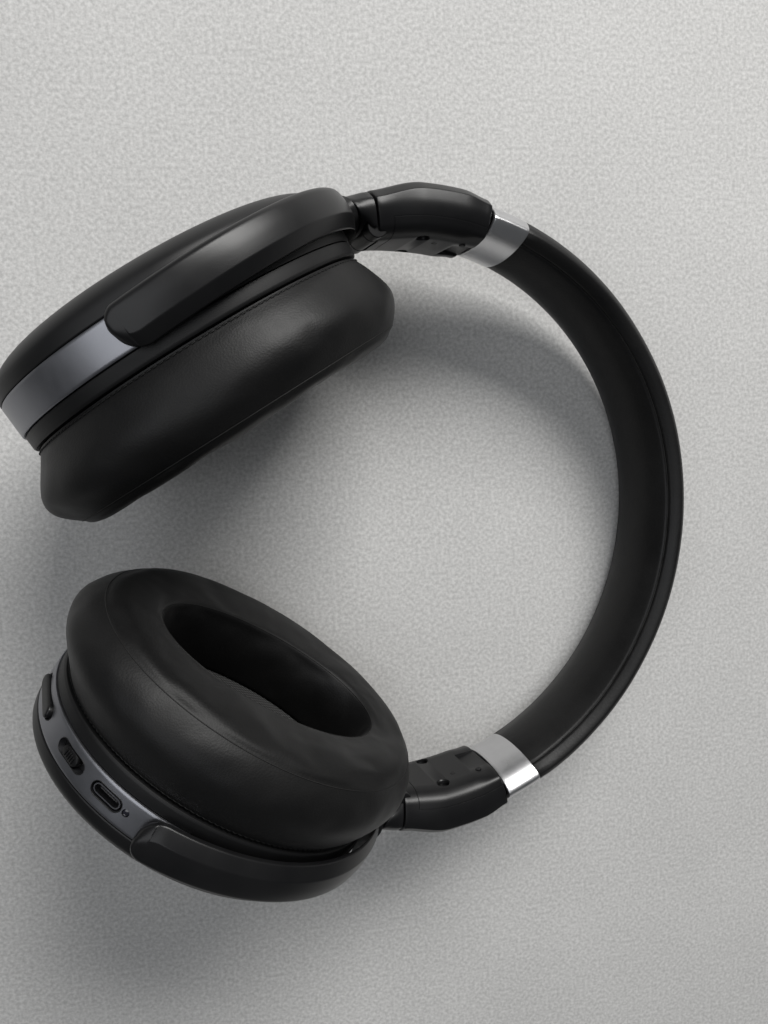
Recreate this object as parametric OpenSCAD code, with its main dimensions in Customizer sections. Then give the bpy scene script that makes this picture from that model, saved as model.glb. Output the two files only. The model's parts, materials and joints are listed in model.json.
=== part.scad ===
// Over ear headphones lying on their side on a table.
// The working frame has its origin at the centre of the headband's arc, +X toward the
// headband's crown, +Y toward the left cup and +Z across the headband. lying() turns that
// frame into the resting place, with +Z up and the origin under the middle of the headphones.

/* [Headband] */
// Radius of the headband's centre line
band_r = 82.5; // [81:0.5:84]
// Angle from the crown to each end of the padding
pad_angle = 68.8; // [66:0.1:69]
// Half thickness of the padded headband
band_t = 6.3; // [6.1:0.1:6.8]
// Half width of the padded headband
band_w = 14; // [13.5:0.1:15]
// Angle from the crown to each open end of the metal sleeve
sleeve_angle = 76.2; // [76:0.1:76.4]

/* [Slider] */
// Width of the slider strip
strip_w = 9; // [8:0.5:9.5]
// Thickness of the slider strip
strip_t = 1.2; // [1:0.1:1.3]

/* [Arm] */
// Angle from the crown to the seam between arm and knuckle
seam_angle = 98.5; // [98:0.1:99]
// Half thickness of the arm
arm_t = 7; // [6.8:0.1:7.4]
// Half width of the arm
arm_w = 13.5; // [13:0.1:14]

/* [Cup] */
// Length of the cup's oval
cup_l = 91.7; // [90:0.1:93]
// Width of the cup's oval
cup_w = 78.7; // [77:0.1:80]
// Distance of the cup's centre behind the arc's centre
cup_back = 60.2; // [59.8:0.1:60.6]
// Distance of the cup's centre from the middle plane
cup_out = 54.3; // [54:0.1:54.8]
// Toe-in of the yokes
toe = 32.5; // [32:0.1:33]
// Height of the ear cushion's crown above the cup's middle plane
crown = 28.6; // [27:0.1:29]
// Length of the ear opening
ear_l = 62; // [58:1:64]
// Width of the ear opening
ear_w = 37; // [34:1:39]

/* [Pose at rest] */
// Turn of the left cup round its stem
swivel_left = 4.5; // [-5:0.5:8]
// Turn of the right cup round its stem
swivel_right = 16.5; // [8:0.5:17]
// Tilt of the left cup in its yoke
tilt_left = -3.2; // [-4:0.1:3]
// Tilt of the right cup in its yoke
tilt_right = 3.1; // [-4:0.1:3.5]

/* [Hidden] */
// Resting place: the three contact points are the two cups and the headband's crown.
rest_pitch = 12.155;
rest_shift = [6.919, 0, 31.054];

// Ovals are drawn with this many sides.
oval_n = 96;
// The slider runs along the band's tangent at this angle.
slide_angle = 67;
// How far the strip reaches back into the headband from the sleeve's open end
strip_in = 36;
// How far the strip is set into the arm
strip_out = 9;
// Gap round the strip in its channel
strip_gap = 0.3;
mouth = band_r*tan(sleeve_angle - slide_angle);

// Headband core, with its spring in a channel
core_t = 4.9;
core_w = 12.3;
spring_angle = 47.5;
spring_t = 0.8;
spring_w = 9;

// Arm: the inner cover meets the shell at this distance inside the centre line.
cover_split = -2.5;
arm_gap = 0.4;
cover_end = 95.4;

// Fold hinge, near the arm's inner side
pivot_r = band_r - 4.2;
barrel_r = 2.7;
barrel_half = 5;
lug_half = 10.8;
pin_r = 1;
hinge_gap = 0.3;

// Cup, measured along the cup's own axis, which points to the ear
cap_face = -13;
cap_seam = -4.2;
ring_top = 3.7;
baffle_top = 7.7;
cushion_base = 8.8;
ring_wall = 1.8;
// Pivot pins of the cup, toward the far end and on the axis
tilt_u = 14;
tilt_n = -0.3;
pivot_pin_r = 1.5;

// Yoke and its stub axle
yoke_gap = 1;
yoke_wall = 3.05;
yoke_low = -5.2;
yoke_high = 4.8;
yoke_end = 18;
stem_n = -0.5;
stem_r = 2.45;
neck_u = -50.3;
neck_w = 11;
knuckle_u = -50.6;
bore_gap = 0.05;

// Driver
driver_r = 20;
driver_hole = 17;
// Housing screws, at four corners
boss_u = 34;
boss_w = 12;
boss_r = 3;
screw_r = 0.9;

// Controls on the right cup, as turns round the oval from the far end toward the top
rocker_turn = 11.3;
switch_turn = 38;
usb_turn = 54.3;
led_turn = 61.4;
jack_turn = -38;
rocker_l = 14;
rocker_h = 3.2;
rocker_axis = 4.1;
rocker_pin_r = 0.5;
switch_l = 9.6;
switch_h = 3.4;
usb_w = 7.4;
usb_h = 2.6;
jack_r = 1.25;
jack_depth = 12;

// ---- Places ----

module lying() {
    translate(rest_shift) rotate([0, rest_pitch, 0]) children();
}

module side(left) {
    if (left) children();
    else mirror([0, 1, 0]) children();
}

module on_slide() {
    rotate([0, 0, slide_angle]) translate([band_r, 0, 0]) children();
}

module on_pivot() {
    rotate([0, 0, seam_angle]) translate([pivot_r, 0, 0]) children();
}

// Cup axes: X to the far end, -Y up across the headband, Z toward the ear.
module on_cup() {
    translate([-cup_back, cup_out, 0])
        rotate([0, 0, 180 + toe])
            rotate([-90, 0, 0])
                children();
}

module on_yoke(left) {
    swivel = left ? swivel_left : swivel_right;
    on_cup()
        translate([0, 0, stem_n])
            rotate([swivel, 0, 0])
                translate([0, 0, -stem_n])
                    children();
}

module on_housing(left) {
    tilt = left ? tilt_left : tilt_right;
    on_yoke(left)
        translate([tilt_u, 0, tilt_n])
            rotate([0, -tilt, 0])
                translate([-tilt_u, 0, -tilt_n])
                    children();
}

// A place on the ring's outside: Z points out of the ring and Y toward the ear.
module on_ring(turn, depth = 0) {
    a = cup_l/2;
    b = cup_w/2;
    translate([a*cos(turn), -b*sin(turn), 0])
        rotate([0, 0, -atan2(a*sin(turn), b*cos(turn))])
            rotate([90, 0, 90])
                translate([0, 0, -depth])
                    children();
}

// ---- Shapes ----

function oval_points(a, b, n = oval_n) =
    [for (i = [0:n - 1]) [a*cos(360*i/n), b*sin(360*i/n)]];

// Lens with rounded thin edges, half thickness t and half width w
function lens_points(t, w, n = 20) = concat(
    [for (i = [0:n - 1]) [t*pow(sin(180*i/n), 1.3), -w*cos(180*i/n)]],
    [for (i = [0:n - 1]) [-t*pow(sin(180*i/n), 1.3), w*cos(180*i/n)]]
);

module oval(inset = 0) {
    polygon(oval_points(cup_l/2 - inset, cup_w/2 - inset));
}

module oval_plate(low, high, inset = 0) {
    translate([0, 0, low]) linear_extrude(high - low) oval(inset);
}

module oval_ring(low, high, inset, wall) {
    translate([0, 0, low])
        linear_extrude(high - low)
            difference() {
                oval(inset);
                oval(inset + wall);
            }
}

module band_arc(from, to) {
    rotate([0, 0, from])
        rotate_extrude(angle = to - from, $fn = 180)
            translate([band_r, 0])
                children();
}

module strip_channel(from, to, gap) {
    on_slide()
        translate([-strip_t/2 - gap, from, -strip_w/2 - gap])
            cube([strip_t + 2*gap, to - from, strip_w + 2*gap]);
}

module pill(l, h, depth) {
    linear_extrude(depth)
        union() {
            square([l - h, h], center = true);
            translate([-(l - h)/2, 0]) circle(d = h, $fn = 32);
            translate([(l - h)/2, 0]) circle(d = h, $fn = 32);
        }
}

// Smooth shell through ovals at the levels given as [height, inset]
module oval_hull(levels) {
    skin = 0.02;
    hull()
        for (level = levels)
            translate([0, 0, level[0]])
                linear_extrude(skin)
                    oval(level[1]);
}

// ---- Headband ----

module headband_spring() {
    color("lightsteelblue")
        lying()
            band_arc(-spring_angle, spring_angle)
                square([spring_t, spring_w], center = true);
}

module headband_core() {
    gap = 0.05;
    color("dimgray")
        lying()
            difference() {
                band_arc(-pad_angle, pad_angle)
                    difference() {
                        polygon(lens_points(core_t, core_w));
                        square([spring_t + 2*gap, spring_w + 2*gap], center = true);
                    }
                for (left = [true, false])
                    side(left) strip_channel(mouth - strip_in - 1, mouth + 1, strip_gap);
            }
}

module headband_cover() {
    color([0.05, 0.05, 0.055])
        lying()
            band_arc(-pad_angle, pad_angle)
                difference() {
                    polygon(lens_points(band_t, band_w));
                    polygon(lens_points(core_t + 0.02, core_w + 0.02));
                }
}

module sleeve(left) {
    color([0.78, 0.78, 0.8])
        lying()
            side(left)
                difference() {
                    band_arc(pad_angle, sleeve_angle)
                        polygon(lens_points(band_t - 0.1, band_w + 0.1));
                    strip_channel(mouth - 16, mouth + 4, strip_gap);
                }
}

// ---- Slider and arm ----

module slider_strip(left) {
    notch_pitch = 3;
    color("lightsteelblue")
        lying()
            side(left)
                difference() {
                    strip_channel(mouth - strip_in, mouth + strip_out, 0);
                    on_slide()
                        for (i = [0:8])
                            translate([0, mouth - strip_in + 4 + i*notch_pitch, -strip_w/2])
                                rotate([0, 90, 0])
                                    cylinder(r = 0.8, h = 4, center = true, $fn = 24);
                }
}

// The arm's whole section: flat faces, bevelled edges and slightly crowned sides
module arm_section() {
    edge = 3.4;
    half = [
        [-arm_t, arm_w - 5.5],
        [-arm_t + 0.6, arm_w - 3.4],
        [cover_split - 2.4, arm_w - 1.4],
        [cover_split + 0.7, arm_w - 0.25],
        [cover_split + 3.5, arm_w],
        [arm_t - edge, arm_w - 1.2],
        [arm_t - 0.9, arm_w - 3.8],
        [arm_t, arm_w - 6.5]
    ];
    far = len(half) - 1;
    polygon(concat(half, [for (i = [0:far]) [half[far - i][0], -half[far - i][1]]]));
}

// Everything inside the split, from the arm's start to the given angle
module inside_split(to) {
    reach = arm_t + cover_split + 1;
    band_arc(arm_start - 1, to)
        translate([cover_split - reach, -arm_w - 1]) square([reach, 2*arm_w + 2]);
}

arm_start = sleeve_angle + arm_gap/band_r*180/PI;
arm_end = seam_angle - 0.15;

module hinge_cylinder(r, half) {
    on_pivot() cylinder(r = r, h = 2*half, center = true, $fn = 48);
}

module arm_shell(left) {
    color([0.07, 0.07, 0.075])
        lying()
            side(left)
                difference() {
                    union() {
                        band_arc(arm_start, arm_end) arm_section();
                        hinge_cylinder(barrel_r, lug_half);
                    }
                    inside_split(cover_end + 0.1);
                    strip_channel(mouth - 2, mouth + strip_out + 0.05, 0.05);
                    hinge_cylinder(barrel_r + hinge_gap, barrel_half + 0.2);
                    hinge_cylinder(pin_r + 0.02, lug_half + 1);
                    for (z = [-1, 1])
                        screw_hole(z*screw_z, screw_turn, 0.75, 4);
                }
}

// Screws of the arm's cover, seen from the headband's inside
screw_turn = 88.7;
screw_z = 7.5;
well_depth = 2;

module screw_hole(z, turn, r, depth) {
    rotate([0, 0, turn])
        translate([band_r + cover_split - 0.5, 0, z])
            rotate([0, 90, 0])
                cylinder(r = r, h = depth + 0.5, $fn = 32);
}

module arm_cover(left) {
    recess_l = 6;
    recess_depth = 1.2;
    color([0.06, 0.06, 0.065])
        lying()
            side(left)
                difference() {
                    intersection() {
                        band_arc(arm_start, arm_end) arm_section();
                        inside_split(cover_end);
                    }
                    for (z = [-1, 1])
                        rotate([0, 0, screw_turn])
                            translate([band_r - arm_t - 1, 0, z*screw_z])
                                rotate([0, 90, 0]) {
                                    cylinder(r = 1.7, h = 1 + well_depth, $fn = 32);
                                    cylinder(r = 0.8, h = 8, $fn = 32);
                                }
                    rotate([0, 0, arm_start])
                        translate([band_r - arm_t - 1, -1, -strip_w/2 - 0.5])
                            cube([recess_depth + 1, recess_l + 1, strip_w + 1]);
                }
}

module arm_screws(left) {
    head_h = 0.9;
    color("darkgray")
        lying()
            side(left)
                for (z = [-1, 1])
                    rotate([0, 0, screw_turn])
                        translate([band_r - arm_t + well_depth - head_h - 0.02, 0, z*screw_z])
                            rotate([0, 90, 0]) {
                                difference() {
                                    cylinder(r = 1.5, h = head_h, $fn = 32);
                                    translate([0, 0, -0.1]) cylinder(r = 0.7, h = 0.6, $fn = 6);
                                }
                                cylinder(r = 0.72, h = 5.8, $fn = 32);
                            }
}

// ---- Fold hinge and knuckle ----

module fold_pin(left) {
    color("silver")
        lying()
            side(left)
                hinge_cylinder(pin_r, lug_half - 0.2);
}

module stem_cylinder(r, from, to) {
    translate([from, 0, stem_n])
        rotate([0, 90, 0])
            cylinder(r = r, h = to - from, $fn = 48);
}

module knuckle_collar() {
    skin = 0.05;
    hull() {
        on_cup()
            translate([knuckle_u, 0, 0.2])
                rotate([0, -90, 0])
                    linear_extrude(skin)
                        polygon(oval_points(5.2, neck_w, 32));
        rotate([0, 0, seam_angle + 0.12])
            rotate_extrude(angle = 0.05)
                translate([band_r - 0.4, 0])
                    polygon(lens_points(arm_t - 0.8, arm_w - 0.9, 12));
    }
}

module knuckle(left) {
    corner = barrel_r + 0.15;
    color([0.06, 0.06, 0.065])
        lying()
            side(left)
                difference() {
                    union() {
                        difference() {
                            knuckle_collar();
                            on_pivot()
                                translate([-8, -1, -arm_w - 1])
                                    cube([8, corner + 1, 2*arm_w + 2]);
                            difference() {
                                hinge_cylinder(barrel_r + hinge_gap, arm_w + 1);
                                hinge_cylinder(barrel_r + 1, barrel_half);
                            }
                        }
                        hinge_cylinder(barrel_r, barrel_half);
                    }
                    hinge_cylinder(pin_r + bore_gap, arm_w + 1);
                    on_cup() {
                        stem_cylinder(stem_r + bore_gap, -60, -50);
                        stem_cylinder(3.6, -60, -54.5);
                    }
                }
}

// ---- Yoke ----

module yoke(left) {
    tip = (yoke_high - yoke_low)/2;
    color([0.06, 0.06, 0.065])
        lying()
            side(left)
                on_yoke(left)
                    difference() {
                        union() {
                            intersection() {
                                oval_ring(yoke_low, yoke_high, -yoke_gap - yoke_wall, yoke_wall);
                                union() {
                                    translate([-100, -100, -50]) cube([100 + yoke_end - tip, 200, 100]);
                                    translate([yoke_end - tip, 100, yoke_low + tip])
                                        rotate([90, 0, 0])
                                            cylinder(r = tip, h = 200, $fn = 48);
                                }
                            }
                            difference() {
                                translate([neck_u, -neck_w, yoke_low])
                                    cube([5, 2*neck_w, yoke_high - yoke_low]);
                                oval_plate(yoke_low - 1, yoke_high + 1, -yoke_gap);
                            }
                            stem_cylinder(stem_r, -54.5, neck_u + 1);
                        }
                        for (up = [-1, 1])
                            pivot_pin(up, pivot_pin_r + 0.02, 0.1);
                        stem_cylinder(0.8, -56, -49);
                    }
}

module swivel_screw(left) {
    color("silver")
        lying()
            side(left)
                on_yoke(left) {
                    stem_cylinder(3.3, -55.1, -54.55);
                    stem_cylinder(1.7, -55.65, -55.1);
                    stem_cylinder(0.75, -55.2, -49.5);
                }
}

// One pivot pin, set into the yoke's tip from inside
module pivot_pin(up, r, longer = 0) {
    inner = cup_w/2 - 5;
    outer = cup_w/2 + 0.95;
    translate([tilt_u, up*inner, tilt_n])
        rotate([-up*90, 0, 0])
            cylinder(r = r, h = outer - inner + longer, $fn = 48);
}

module pivot_pins(left) {
    color("silver")
        lying()
            side(left)
                on_yoke(left)
                    for (up = [-1, 1])
                        pivot_pin(up, pivot_pin_r);
}

// ---- Cup ----

module tilt_bore(r) {
    translate([tilt_u, 100, tilt_n])
        rotate([90, 0, 0])
            cylinder(r = r, h = 200, $fn = 48);
}

module cap(left) {
    wall = 1.6;
    color([0.04, 0.04, 0.045])
        lying()
            side(left)
                on_housing(left)
                    difference() {
                        union() {
                            difference() {
                                oval_hull([[cap_seam - 0.02, 0], [-6.5, 0.2], [-9, 2.2],
                                           [-11.5, 7], [cap_face, 14]]);
                                oval_hull([[cap_seam + 1, wall], [-6.5, wall + 0.2],
                                           [-8.6, wall + 2.6], [cap_face + wall, 14]]);
                            }
                            for (u = [-1, 1], w = [-1, 1])
                                translate([u*boss_u, w*boss_w, cap_face + 3])
                                    cylinder(r = boss_r, h = baffle_top - 5.1 - cap_face, $fn = 32);
                        }
                        for (u = [-1, 1], w = [-1, 1])
                            translate([u*boss_u, w*boss_w, cap_face + 4])
                                cylinder(r = screw_r + bore_gap, h = 40, $fn = 32);
                    }
}

module ring_band(left) {
    color([0.5, 0.5, 0.53])
        lying()
            side(left)
                on_housing(left)
                    difference() {
                        oval_ring(cap_seam, ring_top, 0, ring_wall);
                        tilt_bore(pivot_pin_r + bore_gap);
                        if (!left) control_holes();
                    }
}

module control_holes() {
    depth = 20;
    on_ring(rocker_turn, ring_wall + 1) pill(rocker_l + 0.9, rocker_h + 0.6, depth);
    on_ring(switch_turn, ring_wall + 1) pill(switch_l, switch_h, depth);
    on_ring(usb_turn, ring_wall + 1) pill(usb_w + 1, usb_h + 1, depth);
    on_ring(led_turn, ring_wall + 1) cylinder(r = 0.9, h = depth, $fn = 32);
    on_ring(jack_turn, ring_wall + 1) cylinder(r = 2.6, h = depth, $fn = 32);
}

module housing(left) {
    wall = 1.4;
    plate = 2;
    color([0.05, 0.05, 0.055])
        lying()
            side(left)
                on_housing(left)
                    difference() {
                        union() {
                            oval_ring(cap_seam + 0.2, ring_top, ring_wall + 0.05, wall);
                            oval_ring(ring_top, baffle_top, 0.5, 3);
                            oval_plate(baffle_top - plate, baffle_top, 0.5);
                            intersection() {
                                for (up = [-1, 1])
                                    translate([tilt_u, up*(cup_w/2 - 4.5), tilt_n])
                                        cube([8, 4, 7], center = true);
                                oval_plate(cap_seam, ring_top, ring_wall + 0.05);
                            }
                            if (!left) rocker_ears();
                        }
                        cylinder(r = driver_hole, h = 20, $fn = 96);
                        for (u = [-1, 1], w = [-1, 1])
                            translate([u*boss_u, w*boss_w, 0])
                                cylinder(r = screw_r + 0.3, h = 20, $fn = 32);
                        tilt_bore(pivot_pin_r + bore_gap);
                        if (!left) inner_pockets();
                        if (!left)
                            on_ring(rocker_turn, rocker_axis)
                                rotate([90, 0, 0])
                                    cylinder(r = rocker_pin_r, h = 10, center = true, $fn = 32);
                    }
}

// Two ears that hold the rocker's pin
module rocker_ears() {
    for (y = [-1, 1])
        on_ring(rocker_turn, rocker_axis)
            translate([0, y*(rocker_h/2 + 1), 0.6])
                cube([3, 1.2, 3.2], center = true);
}

// Room in the right housing's wall for the controls
module inner_pockets() {
    depth = 9;
    on_ring(rocker_turn, depth) pill(rocker_l + 3, rocker_h + 0.8, depth);
    on_ring(switch_turn, depth) pill(switch_l + 3, switch_h + 1.6, depth);
    on_ring(usb_turn, depth) pill(usb_w + 1.6, usb_h + 1.6, depth);
    on_ring(led_turn, depth) cylinder(r = 1.4, h = depth, $fn = 32);
    on_ring(jack_turn, depth + 8) cylinder(r = 2.65, h = depth + 8, $fn = 32);
}

module cushion_plate(left) {
    color([0.1, 0.1, 0.1])
        lying()
            side(left)
                on_housing(left)
                    translate([0, 0, baffle_top])
                        linear_extrude(1)
                            difference() {
                                oval(1.6);
                                polygon(oval_points(ear_l/2 + 4, ear_w/2 + 4));
                            }
}

module ear_cushion(left) {
    color([0.03, 0.03, 0.033])
        lying()
            side(left)
                on_housing(left)
                    difference() {
                        oval_hull([[cushion_base, 0.9], [11, -0.2], [14, -1.3], [20, -1.2],
                                   [23.5, 0], [26, 2.2], [crown - 0.6, 6], [crown, 9]]);
                        ear_opening();
                    }
}

module ear_opening() {
    skin = 0.02;
    hull() {
        translate([0, 0, baffle_top])
            linear_extrude(skin) polygon(oval_points(ear_l/2 + 2.5, ear_w/2 + 2.5, 64));
        translate([0, 0, crown - 6])
            linear_extrude(skin) polygon(oval_points(ear_l/2, ear_w/2, 64));
    }
    hull() {
        translate([0, 0, crown - 6.1])
            linear_extrude(skin) polygon(oval_points(ear_l/2, ear_w/2, 64));
        translate([0, 0, crown - 1.8])
            linear_extrude(skin) polygon(oval_points(ear_l/2 + 1.2, ear_w/2 + 1.2, 64));
        translate([0, 0, crown + 1])
            linear_extrude(skin) polygon(oval_points(ear_l/2 + 6, ear_w/2 + 6, 64));
    }
}

module driver(left) {
    color([0.35, 0.35, 0.37])
        lying()
            side(left)
                on_housing(left)
                    difference() {
                        union() {
                            translate([0, 0, 3]) cylinder(r = driver_r, h = 2.65, $fn = 96);
                            cylinder(r = 16, h = 3.2, $fn = 96);
                            translate([0, 0, -3.5]) cylinder(r = 11, h = 3.6, $fn = 96);
                        }
                        translate([0, 0, 4.4]) cylinder(r = driver_r - 1.5, h = 3, $fn = 96);
                    }
}

module driver_cloth(left) {
    color([0.02, 0.02, 0.02])
        lying()
            side(left)
                on_housing(left)
                    translate([0, 0, baffle_top + 0.05])
                        linear_extrude(0.4)
                            polygon(oval_points(ear_l/2 + 3.5, ear_w/2 + 3.5));
}

module housing_screws(left) {
    color("silver")
        lying()
            side(left)
                on_housing(left)
                    for (u = [-1, 1], w = [-1, 1])
                        translate([u*boss_u, w*boss_w, baffle_top - 9.5])
                            cylinder(r = screw_r, h = 9.4, $fn = 32);
}

// ---- Inside the cups ----

module battery() {
    color([0.6, 0.6, 0.65])
        lying()
            side(true)
                on_housing(true)
                    translate([-17, -13, cap_face + 2])
                        cube([34, 26, 5]);
}

module circuit_board() {
    thickness = 1.2;
    color([0.05, 0.3, 0.12])
        lying()
            side(false)
                on_housing(false)
                    translate([0, 0, -7.6])
                        linear_extrude(thickness)
                            polygon(oval_points(29, 22, 64));
}

// ---- Controls on the right cup ----

module volume_rocker() {
    proud = 0.8;
    body = 3.2;
    foot = rocker_axis - body;
    color([0.12, 0.12, 0.13])
        lying()
            side(false)
                on_housing(false)
                    on_ring(rocker_turn, body)
                        difference() {
                            union() {
                                pill(rocker_l, rocker_h, body + proud);
                                translate([0, 0, -foot])
                                    rotate([90, 0, 0])
                                        cylinder(r = 1.3, h = rocker_h, center = true, $fn = 32);
                                translate([-1.3, -rocker_h/2, -foot])
                                    cube([2.6, rocker_h, 1.2]);
                            }
                            translate([0, 0, -foot])
                                rotate([90, 0, 0])
                                    cylinder(r = rocker_pin_r + bore_gap, h = 10, center = true, $fn = 32);
                        }
}

module rocker_pin() {
    color("silver")
        lying()
            side(false)
                on_housing(false)
                    on_ring(rocker_turn, rocker_axis)
                        rotate([90, 0, 0])
                            cylinder(r = rocker_pin_r, h = rocker_h + 3, center = true, $fn = 32);
}

module slide_switch() {
    knob_l = 4;
    color([0.12, 0.12, 0.13])
        lying()
            side(false)
                on_housing(false)
                    on_ring(switch_turn, 3.2)
                        union() {
                            pill(knob_l + 1.4, switch_h - 0.6, 3.6);
                            translate([-(knob_l + 3)/2, -(switch_h + 0.6)/2, 0])
                                cube([knob_l + 3, switch_h + 0.6, 0.9]);
                        }
}

module usb_port() {
    wall = 0.35;
    color([0.55, 0.55, 0.57])
        lying()
            side(false)
                on_housing(false)
                    on_ring(usb_turn, 6)
                        difference() {
                            pill(usb_w, usb_h, 5.6);
                            translate([0, 0, 0.6]) pill(usb_w - 2*wall, usb_h - 2*wall, 8);
                        }
}

module led_lens() {
    color([0.85, 0.85, 0.9])
        lying()
            side(false)
                on_housing(false)
                    on_ring(led_turn, 3)
                        cylinder(r = 0.8, h = 2.9, $fn = 32);
}

module audio_socket() {
    color([0.1, 0.1, 0.1])
        lying()
            side(false)
                on_housing(false)
                    on_ring(jack_turn, 14)
                        difference() {
                            cylinder(r = 2.5, h = 13.8, $fn = 48);
                            translate([0, 0, 13.8 - jack_depth])
                                cylinder(r = jack_r, h = jack_depth + 1, $fn = 48);
                        }
}

// ---- Nodes ----

headband_spring();
headband_core();
headband_cover();
sleeve(true);  // sleeve_left
sleeve(false);  // sleeve_right
slider_strip(true);  // slider_strip_left
arm_shell(true);  // arm_shell_left
arm_cover(true);  // arm_cover_left
arm_screws(true);  // arm_screws_left
fold_pin(true);  // fold_pin_left
knuckle(true);  // knuckle_left
yoke(true);  // yoke_left
swivel_screw(true);  // swivel_screw_left
pivot_pins(true);  // pivot_pins_left
cap(true);  // cap_left
ring_band(true);  // ring_band_left
housing(true);  // housing_left
cushion_plate(true);  // cushion_plate_left
ear_cushion(true);  // ear_cushion_left
driver(true);  // driver_left
driver_cloth(true);  // driver_cloth_left
housing_screws(true);  // housing_screws_left
battery();
slider_strip(false);  // slider_strip_right
arm_shell(false);  // arm_shell_right
arm_cover(false);  // arm_cover_right
arm_screws(false);  // arm_screws_right
fold_pin(false);  // fold_pin_right
knuckle(false);  // knuckle_right
yoke(false);  // yoke_right
swivel_screw(false);  // swivel_screw_right
pivot_pins(false);  // pivot_pins_right
cap(false);  // cap_right
ring_band(false);  // ring_band_right
housing(false);  // housing_right
cushion_plate(false);  // cushion_plate_right
ear_cushion(false);  // ear_cushion_right
driver(false);  // driver_right
driver_cloth(false);  // driver_cloth_right
housing_screws(false);  // housing_screws_right
circuit_board();
volume_rocker();
rocker_pin();
slide_switch();
usb_port();
led_lens();
audio_socket();
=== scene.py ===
"""Looks of a pair of over ear headphones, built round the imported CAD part.

Shapes are made in millimetres in the headphones' working frame (origin at the centre of the
headband's arc, +X toward its crown, +Y toward the left cup, +Z across it) or in a cup's own frame
(u toward the cup's far end, w across the headband, n toward the ear). place() turns both into
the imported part's frame, in metres.
"""
import json
import math

import bmesh
import bpy
import numpy as np
from mathutils import Matrix, Vector, noise

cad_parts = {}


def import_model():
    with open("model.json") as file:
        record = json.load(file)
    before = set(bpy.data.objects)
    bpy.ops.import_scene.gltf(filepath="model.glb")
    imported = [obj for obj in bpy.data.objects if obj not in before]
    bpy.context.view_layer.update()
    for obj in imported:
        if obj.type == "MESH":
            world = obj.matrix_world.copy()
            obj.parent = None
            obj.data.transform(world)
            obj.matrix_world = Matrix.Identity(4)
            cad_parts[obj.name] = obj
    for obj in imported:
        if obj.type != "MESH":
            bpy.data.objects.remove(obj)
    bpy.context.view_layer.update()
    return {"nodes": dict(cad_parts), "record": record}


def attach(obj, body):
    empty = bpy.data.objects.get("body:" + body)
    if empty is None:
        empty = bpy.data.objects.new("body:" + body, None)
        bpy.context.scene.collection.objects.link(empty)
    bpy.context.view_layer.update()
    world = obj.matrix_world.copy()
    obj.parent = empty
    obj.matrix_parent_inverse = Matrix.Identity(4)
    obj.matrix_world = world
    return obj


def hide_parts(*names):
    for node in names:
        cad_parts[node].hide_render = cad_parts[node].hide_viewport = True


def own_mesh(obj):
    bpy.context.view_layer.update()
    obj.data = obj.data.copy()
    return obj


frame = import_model()

# ---- Sizes, in millimetres and degrees ----

# How the part lies: pitched about Y, then shifted onto the floor
REST_PITCH = 12.155
REST_SHIFT = (6.919, 0, 31.054)
# Headband: radius of its centre line, end of its padding, half thickness and half width
BAND_R, PAD_ANGLE, BAND_T, BAND_W = 82.5, 68.8, 6.3, 14.0
# Turn of one millimetre along that line
MM = math.degrees(1 / BAND_R)
# End of the sleeve, and the turn at which the slider's straight line leaves the arc
SLEEVE_ANGLE, SLIDE_ANGLE = 76.2, 67.0
# Arm: its start, its seam at the hinge and its cover's end, as turns round the arc
ARM_START, SEAM_ANGLE, COVER_END = 76.48, 98.5, 95.4
# Arm: half thickness, half width, and the line between its shell and its cover
ARM_T, ARM_W, SPLIT = 7.0, 13.5, -2.5
# Fold hinge: how far from the arc's centre it is, and radii of its barrel and its pin
PIVOT_R, BARREL_R, PIN_R = 78.3, 2.7, 1.0
# Levels, either side of the middle, between which the hinge's lugs stand
LUG_IN, LUG_OUT = 5.2, 9.4
# Cup: half axes of its oval, its place and how far its far end toes in
CUP_A, CUP_B = 45.85, 39.35
CUP_PLACE, TOE = (-60.2, 54.3, 0), 32.5
# Levels along n: bottom and top of the metal band, and the baffle's front
CAP_SEAM, RING_TOP, BAFFLE_TOP = -4.2, 3.7, 7.7
# Half axes of the ear's opening
EAR_A, EAR_B = 31.0, 18.5
# Axis of the cup's tilt in the yoke, and the stem's level
TILT_U, TILT_N, STEM_N = 14.0, -0.3, -0.5
# Turns of each side at rest
SWIVEL = {"left": 4.5, "right": 16.5}
TILT = {"left": -3.2, "right": 3.1}
# Yoke: u of its tips, and its lower and upper edges
YOKE_END, YOKE_LOW, YOKE_HIGH = 18.0, -5.2, 4.8
# Yoke: u of its face toward the arm
YOKE_ROOT = -50.35
# Places of the controls round the right cup, and the end of the bare metal; past it a dark band is painted
# shade under the yoke
ROCKER_TURN, SWITCH_TURN, USB_TURN, LED_TURN, JACK_TURN = 11.3, 38.0, 54.3, 61.4, -38.0
RING_END = 79.0
# Openings for the long controls: turn, length and height
SLOTS = {
    "rocker": (ROCKER_TURN, 14.9, 3.8),
    "switch": (SWITCH_TURN, 9.6, 3.4),
    "usb": (USB_TURN, 8.4, 3.6),
}
# Cushion: inset of its shoulder seam, and spread of its padding at the cup's two ends
SEAM_INSET = 1.75
FAR_FLARE, NEAR_FLARE = 3.0, 0.8
# Steps round the cup's oval
CUP_STEPS = 256
SIDES = ("left", "right")
BODY_OF = {n: b for b, ns in frame["record"]["behaviour"]["bodies"].items() for n in ns}


# ---- Places ----

def turn(degrees, axis):
    return Matrix.Rotation(math.radians(degrees), 4, axis)


def shift(x, y, z):
    return Matrix.Translation(Vector((x, y, z)))


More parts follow.
